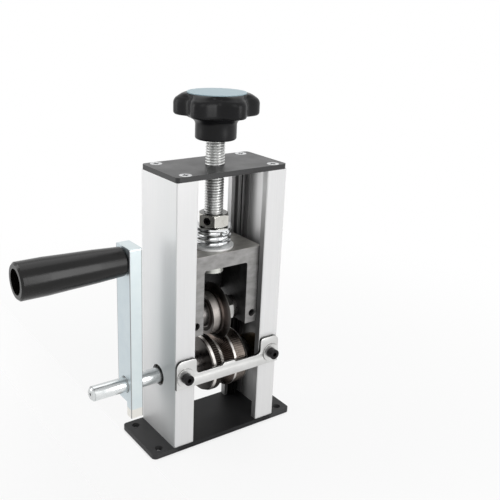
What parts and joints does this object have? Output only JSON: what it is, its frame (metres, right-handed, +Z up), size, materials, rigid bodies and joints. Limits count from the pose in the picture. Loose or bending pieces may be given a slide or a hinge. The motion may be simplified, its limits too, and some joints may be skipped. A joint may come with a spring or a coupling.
{
  "type": "hand crank wire stripper",
  "caption": "Bench wire stripper: a crank turns a grooved feed roller between two channel columns, and a knob screws a sprung cutting disc down onto the cable.",
  "frame": {"origin": "middle of the base plate's underside, on the bench", "axes": "+Z up along the feed screw, +X to the right along the drive shaft and away from the crank, -Y towards the operator at the guide bar"},
  "size_m": [0.1854, 0.054, 0.2255],
  "materials": {
    "black_plate": "black coated steel plate, satin",
    "bright_screws": "zinc plated, semi-gloss",
    "column_aluminium": "clear anodised extrusion with fine vertical lines",
    "bright_steel": "plated, softly brushed",
    "bronze": "turned bronze, satin",
    "zinc_steel": "bright zinc plated steel, cool tint",
    "knurled_steel": "dark knurled steel with bright worn rims",
    "machined_steel": "turned steel, satin",
    "black_screws": "black oxide, satin",
    "black_plastic": "moulded black plastic, semi-gloss",
    "blue_plastic": "plain pale blue disc",
    "spring_chrome": "bright plated spring wire",
    "thread_steel": "bright zinc plated thread",
    "dark_steel": "dark tempered steel with bright edges",
    "block_steel": "ground steel block, oiled grey",
    "bearing_steel": "ground bearing steel",
    "dark_seal": "black rubber seal"
  },
  "bodies": {
    "frame": {"base_plate": "black_plate", "base_screws": "bright_screws", "left_column": "column_aluminium", "right_column": "column_aluminium", "top_plate": "black_plate", "top_screws": "bright_screws", "guide_bar": "bright_steel", "guide_bar_screws": "black_screws", "guide_bar_washers": "bright_steel", "left_bushing": "bronze", "right_bushing": "bronze"},
    "drive": {"drive_shaft": "zinc_steel", "feed_roller": "knurled_steel", "roller_set_screw": "black_screws", "shaft_spacer": "machined_steel", "crank_arm": "zinc_steel", "crank_set_screw": "black_screws", "handle_bolt": "black_screws"},
    "handle": {"handle_grip": "black_plastic"},
    "feed": {"upper_washer": "bright_steel", "pressure_spring": "spring_chrome"},
    "screw": {"feed_screw": "thread_steel", "star_knob": "black_plastic", "knob_insert": "machined_steel", "knob_cap": "blue_plastic", "stop_nut": "dark_steel", "stop_nut_set_screw": "black_screws", "screw_collar": "bright_steel"},
    "block": {"sliding_block": "block_steel", "lower_washer": "bright_steel", "axle_set_screws": "black_screws", "cutter_axle": "machined_steel", "axle_sleeve": "machined_steel", "axle_nut": "bright_steel", "axle_spacer": "machined_steel", "bearing_inner_ring": "bearing_steel"},
    "cutter": {"bearing_outer_ring": "bearing_steel", "bearing_balls": "bearing_steel", "bearing_seals": "dark_seal", "cutting_disc": "dark_steel"}
  },
  "joints": [
    {"name": "crank_turn", "type": "hinge", "parent": "frame", "child": "drive", "pos_m": [0, 0, 0.047], "axis": [1, 0, 0], "continuous": true},
    {"name": "handle_spin", "type": "hinge", "parent": "drive", "child": "handle", "pos_m": [-0.097, 0, 0.13], "axis": [1, 0, 0], "continuous": true},
    {"name": "screw_feed", "type": "slide", "parent": "frame", "child": "feed", "axis": [0, 0, 1], "range_m": [-0.0022, 0.026]},
    {"name": "knob_turn", "type": "hinge", "parent": "feed", "child": "screw", "pos_m": [0, 0, 0.182], "axis": [0, 0, 1], "range_deg": [-453, 5349]},
    {"name": "block_float", "type": "slide", "parent": "feed", "child": "block", "axis": [0, 0, 1], "range_m": [0, 0.0024], "stiffness_N_per_m": 8000, "springref_m": -0.002, "deforming": ["pressure_spring"]},
    {"name": "cutter_spin", "type": "hinge", "parent": "block", "child": "cutter", "pos_m": [0.0026, 0, 0.083], "axis": [1, 0, 0], "continuous": true}
  ],
  "couplings": [
    {"joint": "knob_turn", "follows": "screw_feed", "rad_per_m": 3590.4}
  ]
}
